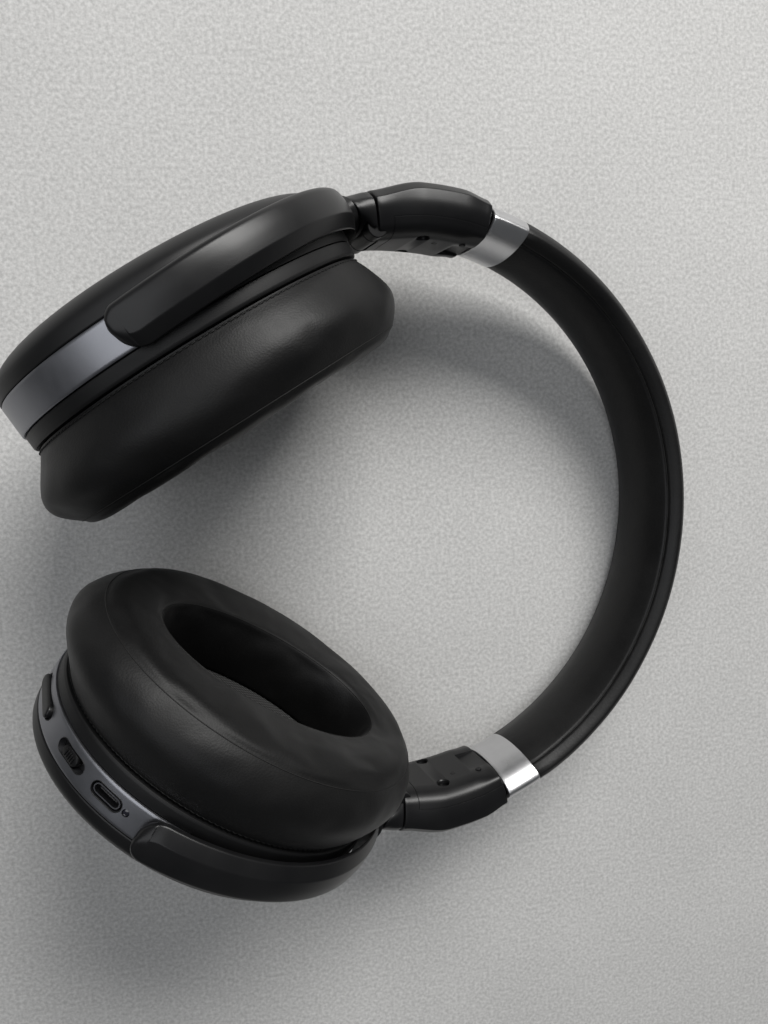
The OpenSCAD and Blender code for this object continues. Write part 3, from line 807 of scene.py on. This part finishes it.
def yoke(side):
    """Fork round the cup: convex outer face, a flat strip on the ear side, rounded tips."""
    start = math.degrees(math.acos(YOKE_END / CUP_A))
    fine = 1500
    angles = np.linspace(start, 360 - start, fine)
    path = np.array([ring_point(a, 3, 0) for a in angles])
    length = np.concatenate([[0], np.cumsum(np.linalg.norm(np.diff(path, axis=0), axis=1))])
    total = length[-1]
    half = total / 2
    near = [0.0, 0.05, 0.16, 0.35, 0.6, 0.95, 1.35, 1.8, 2.3, 2.75, 2.9, 3.05, 3.3, 3.8, 4.5, 5.3, 6.2]
    stations = near + list(np.linspace(7.2, half - 12.5, 80))
    stations += list(np.linspace(half - 12.2, half - 6.4, 22)) + list(np.linspace(half - 5.7, half, 9))
    stations += [total - s for s in reversed(stations[:-1])]
    sections = []
    for s in stations:
        angle = float(np.interp(s, length, angles))
        tip = min(s, total - s)
        centre = smoothstep(half - 46, half - 6, tip)
        root = smoothstep(half - 9.6, half - 7.6, tip)
        low = YOKE_LOW + 0.7 * centre + round_in(tip, 3.6)
        top = YOKE_HIGH + 0.9 * centre + 0.6 * root
        inner = 1.0 + 1.5 * centre
        high = top - round_in(tip, 5.6)
        flat = smoothstep(2.8, 3.05, tip)
        out = 3.9 - 1.1 * round_in(tip, 1.2)
        chamfer = mix(1.5, mix(1.75, 1.5, centre), flat)
        rise = mix(2.7, mix(2.9, 3.0, centre), flat)
        bulge = 0.30 * smoothstep(0, 10, tip) + 0.15 * centre
        high_mid = high - min(rise, (high - low) * 0.4)
        points = [(1.0 - 0.45 * centre, low + 0.2), (1.35, low), (out - 0.9, low), (out, low + 0.95),
                  (out + bulge, (low + high_mid) / 2), (out + bulge * 0.5, high_mid),
                  (out - chamfer, high), (inner, high)]
        soft = mix(2.4, 0.25, flat)
        outline = rounded(points, [0.2, 0.3, 0.8, 0.9, 2.5, soft, mix(1.2, 0.35, flat), 0.2], 3)
        sections.append([ring_point(angle, p.x, p.y) for p in outline])
    neck = []
    for t, grow in ((0.0, 0.90), (0.05, 0.96), (0.15, 1.0), (0.5, 1.01), (1.0, 1.04)):
        u = mix(YOKE_ROOT, YOKE_ROOT + 2.25, t)
        neck.append([Vector((u, 11.5 * grow * math.cos(a), 0.1 + 5.4 * grow * math.sin(a)))
                     for a in np.linspace(0, 2 * math.pi, 72)[:-1]])
    obj = piece(f"yoke_fork_{side}", [loft(sections), loft(neck)], place("yoke", side), YOKE, 30)
    settle(obj, f"yoke_{side}", "yoke_plastic")


def round_in(distance, radius):
    """How far a rounded corner of this radius stands back, at a distance from its end."""
    if distance >= radius:
        return 0.0
    return radius - math.sqrt(max(radius ** 2 - (radius - distance) ** 2, 0.0))


# ---- Cups ----

def oval_row(inset, n, count=CUP_STEPS):
    return [ring_point(360.0 * i / count, -inset, n) for i in range(count)]


def cap(side):
    """Outer cap: bevelled rim, softly domed face with a shallow inner plateau."""
    profile = [(1.4, CAP_SEAM + 0.25), (0.45, CAP_SEAM - 0.05), (0.12, CAP_SEAM - 0.12),
               (0.0, CAP_SEAM - 0.35), (0.03, -5.2), (0.2, -6.5)]
    for t in np.linspace(0.12, 1.0, 16):
        angle = t * math.pi / 2
        profile.append((0.2 + 13.8 * (1 - math.cos(angle)) ** 1.02, -6.5 - 6.2 * math.sin(angle) ** 1.15))
    profile += [(15.5, -12.78), (19.0, -12.86), (23.0, -12.92)]
    rows = [oval_row(inset, n) for inset, n in profile]
    last = rows[-1]
    for share, n in ((0.75, -12.935), (0.5, -12.9767), (0.25, -12.9833), (0.06, -12.9884)):
        rows.append([Vector((p.x * share, p.y * share, n)) for p in last])
    back = [oval_row(16.0, -11.0), oval_row(6.0, -9.4), oval_row(2.4, -6.4), oval_row(2.2, CAP_SEAM - 0.4)]
    obj = piece(f"cap_shell_{side}", [loft(back + rows)], place("housing", side), CAP, 25)
    settle(obj, f"cap_{side}", "cap_plastic")


def control_cutters():
    """Openings in the right ring for the rocker, the switch, the charging port and the light."""
    parts = []
    low, high = -2.9, 4
    for angle, length, height in SLOTS.values():
        parts.append(prism(pill_outline(length, height), low, high, ring_matrix(angle)))
    parts.append(prism(pill_outline(1.8, 1.799, 14), low, high, ring_matrix(LED_TURN)))
    parts.append(prism(pill_outline(5.2, 5.199, 20), low, high, ring_matrix(JACK_TURN)))
    return parts


def ring_band(side):
    """Metal band round the cup's far end, with the controls' openings on the right one, and the
    dark band behind the yoke: painted shade where the metal runs on under it."""
    profile = [(1.8, CAP_SEAM + 0.15), (0.55, CAP_SEAM + 0.02), (0.18, CAP_SEAM + 0.06),
               (0.02, CAP_SEAM + 0.28)]
    profile += [(0.0, n) for n in np.linspace(CAP_SEAM + 0.8, RING_TOP - 0.75, 8)]
    profile += [(0.02, RING_TOP - 0.28), (0.18, RING_TOP - 0.06), (0.55, RING_TOP), (1.8, RING_TOP)]
    matrix = place("housing", side)
    pins = [solid_turn([(1.56, -3), (1.56, 3)], shift(TILT_U, up * 35.9, TILT_N) @ turn(90, "X"), 32)
            for up in (-1, 1)]

    def stretch(start, end, count, rows):
        return loft([[ring_point(a, -inset, n) for inset, n in rows]
                     for a in np.linspace(start, end, count)])
    obj = piece(f"ring_metal_{side}", [stretch(-RING_END, RING_END, 150, profile)], matrix, RING, 30)
    if side == "right":
        cut(obj, control_cutters(), matrix)
    cut(obj, pins, matrix)
    settle(obj, f"ring_band_{side}", "ring_metal")
    # Past the metal's end, a dark band: painted shade where the ring runs on under the yoke
    lip = [(1.8, CAP_SEAM + 0.15), (0.3, CAP_SEAM + 0.02), (0.05, CAP_SEAM + 0.3), (0.05, RING_TOP - 0.6),
           (0.25, RING_TOP - 0.25), (0.3, RING_TOP), (1.8, RING_TOP)]
    rest = stretch(RING_END + 0.05, 359.95 - RING_END, 200, lip)
    back = piece(f"ring_shade_band_{side}", [rest], matrix, HOUSING, 30)
    detail(back, f"cup_{side}", "cap_plastic")


def rim(name, outline, matrix, angle, material, width):
    """Fine eased lip round an opening in the ring."""
    path = [ring_surface(angle, x, y) for x, y in outline]
    obj = piece(name, [tube(path, width, 8, closed=True)], matrix, material, 60)
    detail(obj, "cup_right", "ring_metal")


def ring_surface(angle, along, n):
    """A point on the ring's outer surface, at a distance along it from a turn."""
    step = ring_point(angle + 0.5, 0, 0) - ring_point(angle - 0.5, 0, 0)
    direction = ring_matrix(angle).col[0].to_3d().dot(step)
    a = angle + along / step.length * math.copysign(1.0, direction)
    return ring_point(a, 0, n)


def housing(side):
    """Dark baffle between the ring and the cushion, with its inner wall and front plate."""
    steps = CUP_STEPS
    outer = [(3.3, -3.9), (1.85, -3.9), (1.85, 3.3), (1.3, RING_TOP + 0.06), (0.75, RING_TOP + 0.1),
             (0.52, RING_TOP + 0.3), (0.5, RING_TOP + 0.7), (0.5, 6.5), (0.55, 6.9), (0.8, 7.25),
             (1.25, 7.4), (2.2, 7.45), (3.0, BAFFLE_TOP), (5.0, BAFFLE_TOP)]
    sections = []
    for i in range(steps):
        a = 360.0 * i / steps
        section = [ring_point(a, -inset, n) for inset, n in outer]
        r = math.radians(a)
        for n in (BAFFLE_TOP, BAFFLE_TOP - 1.9):
            section.append(Vector((17.1 * math.cos(r), 17.1 * math.sin(r), n)))
        section.append(ring_point(a, -3.4, BAFFLE_TOP - 2.0))
        sections.append(section)
    matrix = place("housing", side)
    obj = piece(f"baffle_{side}", [loft(sections, loop=True)], matrix, HOUSING, 32)
    settle(obj, f"housing_{side}", "housing_plastic")


def cushion_profile():
    """(inset or None, ear offset or None, n, share, pinned) rows round a cushion's section."""
    rows = []

    def outer(points, pin=0.0):
        for inset, n in points:
            rows.append((inset, None, n, 0.0, pin))
    outer([(3.0, 7.9), (1.6, 7.95)], 1.0)
    outer([(1.05, 8.25), (0.85, 8.8)], 1.0)
    outer([(0.50, 10.0), (0.05, 11.4), (-0.45, 12.9), (-0.95, 14.5), (-1.40, 16.1), (-1.75, 17.7),
           (-1.90, 19.3), (-1.75, 20.9), (-1.25, 22.4), (-0.45, 23.8), (0.55, 25.0)])
    outer([(1.55, 25.95)], 0.85)
    outer([(SEAM_INSET, 26.15), (1.98, 26.38)], 1.0)
    outer([(2.25, 26.6)], 0.85)
    outer([(3.1, 27.2), (4.3, 27.8), (5.7, 28.25), (7.2, 28.45)])
    for share, n in ((0.14, 28.6), (0.30, 28.75), (0.48, 28.75), (0.64, 28.65), (0.79, 28.4), (0.91, 28.1)):
        rows.append((7.9, 2.2, n, share, 0.0))
    for offset, n, pin in ((1.9, 27.85, 0.0), (1.3, 27.5, 0.5), (1.0, 27.2, 1.0), (0.82, 26.95, 1.0),
                           (0.6, 26.4, 0.5), (0.35, 25.2, 0.0), (0.1, 23.4, 0.0), (0.0, 21.0, 0.0),
                           (0.2, 18.5, 0.0), (0.7, 15.8, 0.0), (1.3, 13.2, 0.0), (1.9, 10.9, 0.2),
                           (2.5, 9.0, 1.0), (3.0, 8.0, 1.0)):
        rows.append((None, offset, n, 0.0, pin))
    for share in (0.3, 0.6, 0.85):
        rows.append((3.0, 3.0, 7.9, 1 - share, 1.0))
    return rows


def ear_point(angle, offset, n):
    a = math.radians(angle)
    normal = Vector((EAR_B * math.cos(a), EAR_A * math.sin(a), 0)).normalized()
    return Vector((EAR_A * math.cos(a), EAR_B * math.sin(a), n)) + normal * offset


def flare(angle, n):
    """How far the padding spreads past the cup's oval toward its two ends, at a height."""
    c = math.cos(math.radians(angle))
    ends = FAR_FLARE * max(c, 0) ** 2.2 + NEAR_FLARE * max(-c, 0) ** 3
    return ends * smoothstep(8.6, 19.0, n) * (1 - 0.45 * smoothstep(21.0, 28.5, n))


def cushion_mesh(side, steps=208):
    rows = cushion_profile()
    sections, pins = [], []
    seed = 3.0 if side == "left" else 17.0
    for i in range(steps):
        a = 360.0 * i / steps
        section = []
        for inset, offset, n, share, pin in rows:
            if offset is None:
                p = ring_point(a, flare(a, n) - inset, n)
            elif inset is None:
                p = ear_point(a, offset, n)
            else:
                p = ring_point(a, flare(a, n) - inset, n).lerp(ear_point(a, offset, n), share)
            if pin < 0.5:
                p += Vector((0, 0, 1)) * noise.noise(Vector((p.x * 0.06, p.y * 0.06, seed))) * 0.35
            section.append(p)
            pins.append(pin)
        sections.append(section)
    return loft(sections, loop=True), pins, len(rows), steps


def ear_cushion(side):
    """Foam ring in soft leather: pressed out between its seams by a short cloth simulation."""
    matrix = place("housing", side)
    ring, pins, count, steps = cushion_mesh(side)
    bm = skin([ring], matrix)
    bmesh.ops.recalc_face_normals(bm, faces=bm.faces)
    obj = finish_mesh(bm, f"cushion_{side}", CUSHION)
    before = np.array([v.co for v in obj.data.vertices])
    inflate(obj, pins, before, steps)
    sub = obj.modifiers.new("smooth", "SUBSURF")
    sub.levels = sub.render_levels = 1
    bake_modifiers(obj, 60)
    settle(obj, f"ear_cushion_{side}", "cushion_leather")
    yield_to_arm(obj)
    seam_threads(side, before, count, matrix)


def yield_to_arm(obj):
    """Gives obj its own copy of its mesh."""
    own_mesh(obj)


def inflate(obj, pins, before, steps, cap_mm=0.8):
    """Cloth with pressure; the seams' rows are held and no point moves further than the cap."""
    group = obj.vertex_groups.new(name="held")
    for i, pin in enumerate(pins):
        if pin > 0:
            group.add([i], pin, "REPLACE")
    mod = obj.modifiers.new("cloth", "CLOTH")
    s = mod.settings
    s.quality = 6
    s.mass = 0.3
    s.use_pressure = True
    s.uniform_pressure_force = 4.0
    s.vertex_group_mass = "held"
    s.shrink_min = -0.010
    s.tension_stiffness = s.compression_stiffness = 12
    s.shear_stiffness = 5
    s.bending_stiffness = 0.4
    s.effector_weights.gravity = 0
    mod.collision_settings.use_collision = False
    scene = bpy.context.scene
    for f in range(1, 21):
        scene.frame_set(f)
    dg = bpy.context.evaluated_depsgraph_get()
    made = obj.evaluated_get(dg).to_mesh()
    after = np.array([v.co for v in made.vertices])
    obj.modifiers.clear()
    scene.frame_set(1)
    move = after - before
    move[~np.isfinite(move).all(axis=1)] = 0
    grid = move.reshape(steps, -1, 3)
    for _ in range(3):
        grid = 0.5 * grid + 0.25 * (np.roll(grid, 1, axis=0) + np.roll(grid, -1, axis=0))
    move = grid.reshape(-1, 3)
    far = np.linalg.norm(move, axis=1)
    limit = cap_mm * 0.001
    share = np.where(far > 1e-9, limit * np.tanh(far / limit) / np.maximum(far, 1e-9), 0)
    for v, p, m, k in zip(obj.data.vertices, before, move, share):
        v.co = p + m * k
    print("cushion moved up to", round(float(far.max()) * 1000, 2), "mm")


def seam_threads(side, before, count, matrix):
    """Fine sewn lines at the shoulder and the opening's rim, and short stitches at the base."""
    rows = cushion_profile()
    shoulder = next(i for i, r in enumerate(rows) if r[0] == SEAM_INSET)
    lip = next(i for i, r in enumerate(rows) if r[1] == 1.0)
    for label, row, radius in (("shoulder", shoulder, 0.14), ("lip", lip, 0.16)):
        path = [Vector(p) * 1000 for p in before[row::count].tolist()]
        thread = piece(f"cushion_{label}_{side}", [tube(path, radius, 6, closed=True)],
                       Matrix.Scale(0.001, 4), THREAD, 60)
        detail(thread, f"cup_{side}", "cushion_leather")
        yield_to_arm(thread)
    parts = []
    total = 190
    for k in range(total):
        a = 360.0 * k / total
        p, q = ring_point(a - 0.62, -0.95, 8.4), ring_point(a + 0.62, -0.92, 8.3)
        middle = ring_point(a, -0.80, 8.35)
        parts.append(tube([p, middle, q], 0.11, 6))
    row = piece(f"cushion_stitches_{side}", parts, matrix, THREAD, 60)
    detail(row, f"cup_{side}", "cushion_leather")


def driver_cloth(side):
    """Thin knit over the driver, drawn tight and slightly crowned, with a soft hem."""
    rings, steps = 14, 144
    hem = [ear_point(360.0 * i / steps, 3.4, 0) for i in range(steps)]
    rows = []
    for share in (r / rings for r in range(rings + 1)):
        dome = 0.35 + 0.9 * (1 - share ** 2)
        row = []
        for x, y in ((p.x * share, p.y * share) for p in hem):
            ripple = noise.noise(Vector((x * 0.12, y * 0.12, 2.0))) * 0.12
            row.append(Vector((x, y, BAFFLE_TOP + dome + ripple * (1 - share))))
        rows.append(row)
    for share in (1.0, 0.0):
        rows.append([Vector((p.x * share, p.y * share, BAFFLE_TOP + 0.02)) for p in hem])
    obj = piece(f"ear_cloth_{side}", [loft(rows, caps=False)], place("housing", side), CLOTH, 60)
    settle(obj, f"driver_cloth_{side}", "ear_cloth")


# ---- Controls on the right cup ----

def controls():
    matrix = place("housing", "right")
    for label, (angle, length, height) in SLOTS.items():
        rim(f"{label}_rim", pill_outline(length, height, 12), matrix, angle, HOUSING, 0.11)
    rocker()
    switch()
    usb()
    light()
    socket()


def rocker():
    """Volume rocker: two raised pads with a dip between them."""
    spot = control_place(ROCKER_TURN)
    length, height = 14.0, 3.2
    sections = []
    outline = pill_outline(length, height, 12)
    for level, inset in ((-4.3, 0.9), (-3.0, 0.0), (0.0, 0.0), (0.25, 0.05), (0.45, 0.22), (0.55, 0.55),
                         (0.58, 1.0)):
        section = []
        for x, y in outline:
            k = max(0.0, 1 - inset / (height / 2))
            px = math.copysign(max(abs(x) - inset, 0), x)
            dip = -0.28 * math.exp(-(px / 1.3) ** 2) if level > 0.2 else 0
            section.append(Vector((px, y * k, level + dip)))
        sections.append(section)
    obj = piece("rocker_button", [loft(sections)], spot, RUBBER, 35)
    settle(obj, "volume_rocker", "control_rubber")


def switch():
    """Sliding power switch: a ribbed knob on a flat base."""
    spot = control_place(SWITCH_TURN)
    base = box_part((7.0, 4.0, 0.9), shift(0, 0, -2.75))
    knob = prism(pill_outline(5.4, 2.8, 10), -2.4, 0.25, Matrix.Identity(4), 0.3)
    ribs = [prism(pill_outline(1.9, 0.42, 6), 0.1, 0.5, shift(x, 0, 0) @ turn(90, "Z"), 0.12)
            for x in (-1.3, -0.65, 0, 0.65, 1.3)]
    obj = piece("switch_knob", [base, knob] + ribs, spot, RUBBER, 32)
    settle(obj, "slide_switch", "control_rubber")


def usb():
    """Charging port: thin plated shell with rounded ends and a contact tongue."""
    spot = control_place(USB_TURN)
    outer, inner = pill_outline(7.4, 2.6, 10), pill_outline(6.7, 1.9, 10)
    rows = [(-6.0, outer), (-0.45, outer), (-0.3, [(x * 0.985, y * 0.97) for x, y in outer]),
            (-0.3, inner), (-5.4, inner)]
    shell = loft([[Vector((x, y, level)) for x, y in outline] for level, outline in rows])
    tongue = prism(pill_outline(5.2, 0.6, 6), -5.4, -1.2, Matrix.Identity(4), 0.15)
    obj = piece("usb_shell", [shell], spot, PORT, 32)
    settle(obj, "usb_port", "port_metal")
    insert = piece("usb_tongue", [tongue], spot, RUBBER, 32)
    detail(insert, "cup_right", "control_rubber")


def light():
    """Light pipe, a little below the metal."""
    spot = control_place(LED_TURN)
    dome = [(0.85, -2.3), (0.85, -0.35), (0.78, -0.25), (0.55, -0.18), (0.25, -0.14), (0.02, -0.13)]
    obj = piece("light_pipe", [solid_turn(dome, Matrix.Identity(4), 32)], spot, LENS, 40)
    settle(obj, "led_lens", "led_plastic")


def socket():
    """Audio socket: a turned collar with a chamfered mouth and a deep bore."""
    spot = control_place(JACK_TURN)
    collar = [(1.27, -12.2), (2.5, -12.2), (2.5, -0.35), (2.35, -0.12), (2.0, -0.05), (1.75, -0.12),
              (1.5, -0.4), (1.27, -0.55)]
    rings = turned(collar, Matrix.Identity(4))
    obj = piece("audio_collar", [loft(rings, loop=True)], spot, CORE, 32)
    settle(obj, "audio_socket", "core_plastic")


# ---- Build ----

headband_cover()
for which in SIDES:
    sleeve(which)
    arm_shell(which)
    arm_cover(which)
    knuckle(which)
    yoke(which)
    cap(which)
    ring_band(which)
    housing(which)
    ear_cushion(which)
    driver_cloth(which)
controls()


# ---- Floor, light and camera ----

def floor():
    n = Nodes("floor_pale")
    n.shape(Specular_IOR_Level=0.3)
    clouds = n.noise(60, 4, 0.6)
    speck = n.noise(1.1, 3, 0.6)
    colour = n.ramp(n.sum(speck, clouds, 0.2), 0.42, 0.78, ((0.42, 0.417, 0.410), (0.61, 0.605, 0.595)))
    material = n.done(colour, n.span(clouds, 0.75, 0.85), n.bump(speck, 0.05, 0.5))
    size = 2.5
    corners = [(x * size, y * size, 0) for x, y in ((-1, -1), (1, -1), (1, 1), (-1, 1))]
    mesh = bpy.data.meshes.new("floor")
    mesh.from_pydata(corners, [], [(0, 1, 2, 3)])
    mesh.materials.append(material)
    add_object("floor", mesh)


def area_light(name, spot, aim, size, watts, colour=(1, 1, 1)):
    data = bpy.data.lights.new(name, "AREA")
    data.shape = "RECTANGLE"
    data.size, data.size_y = size
    data.energy = watts
    data.color = colour
    obj = add_object(name, data)
    obj.location = spot
    obj.rotation_euler = (Vector(aim) - Vector(spot)).to_track_quat("-Z", "Y").to_euler()


def camera():
    data = bpy.data.cameras.new("camera")
    data.sensor_fit = "VERTICAL"
    data.sensor_height = 36.0
    data.lens = 25.823
    data.clip_start, data.clip_end = 0.01, 10
    obj = add_object("camera", data)
    # It looks nearly straight down; its place is in millimetres in the working frame
    obj.location = place("band") @ Vector((-82.41, 29.09, 189.46))
    obj.rotation_euler = [math.radians(a) for a in (-6.803, -9.125, -2.63)]
    bpy.context.scene.camera = obj


def world():
    w = bpy.data.worlds.new("studio")
    w.use_nodes = True
    sky = w.node_tree.nodes["Background"]
    sky.inputs["Color"].default_value = (0.94, 0.97, 1.0, 1.0)
    sky.inputs["Strength"].default_value = 0.09
    bpy.context.scene.world = w


floor()
area_light("window", (0.40, 0.95, 0.80), (0, 0, 0.02), (0.8, 0.5), 20.5, (1.0, 0.99, 0.97))
area_light("ceiling", (-0.45, 0.1, 1.1), (0, 0, 0), (0.9, 0.9), 4.2, (0.95, 0.97, 1.0))
camera()
world()
bpy.context.scene.view_settings.view_transform = "Standard"
